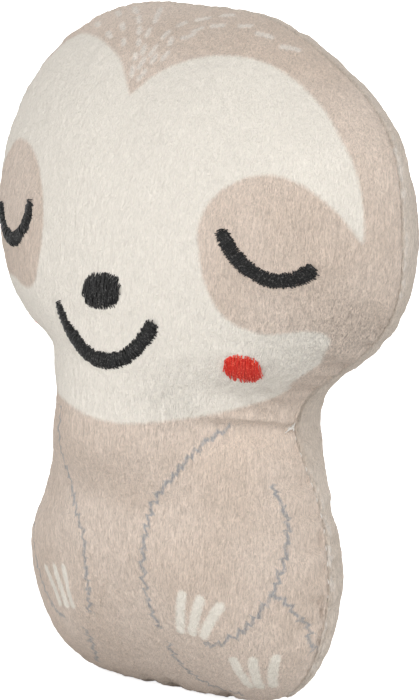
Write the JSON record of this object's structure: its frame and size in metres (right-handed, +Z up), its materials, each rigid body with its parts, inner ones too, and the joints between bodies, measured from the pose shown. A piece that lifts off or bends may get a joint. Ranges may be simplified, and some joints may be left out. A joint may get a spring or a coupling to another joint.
{
  "type": "plush sloth",
  "caption": "Small stuffed sloth sewn from a printed front and a plain back panel, with an embroidered sleeping face, standing on a small flat base.",
  "frame": {"origin": "on the surface it stands on, under the middle of the bounding box", "axes": "+Z up from the bottom seam to the crown, -Y is where the face looks, +X is the sloth's own left"},
  "size_m": [0.1252, 0.0686, 0.17],
  "materials": {
    "printed_pile": "printed short pile fabric, beige with a cream face",
    "plain_pile": "plain beige short pile fabric",
    "fibre_filling": "loose white polyester fibre",
    "backing_sheet": "white nonwoven sheet",
    "seam_thread": "matt beige sewing thread",
    "closing_thread": "white hand-sewing thread",
    "dark_embroidery": "satin stitch in dark grey thread",
    "nose_embroidery": "satin stitch in near-black thread",
    "cheek_embroidery": "satin stitch in red thread"
  },
  "bodies": {
    "root": {"front_panel": "printed_pile", "back_panel": "plain_pile", "head_filling": "fibre_filling", "body_filling": "fibre_filling", "face_backing": "backing_sheet", "seam_thread": "seam_thread", "closing_thread": "closing_thread", "left_eye": "dark_embroidery", "right_eye": "dark_embroidery", "mouth": "dark_embroidery", "nose": "nose_embroidery", "left_cheek": "cheek_embroidery", "right_cheek": "cheek_embroidery"}
  },
  "joints": []
}
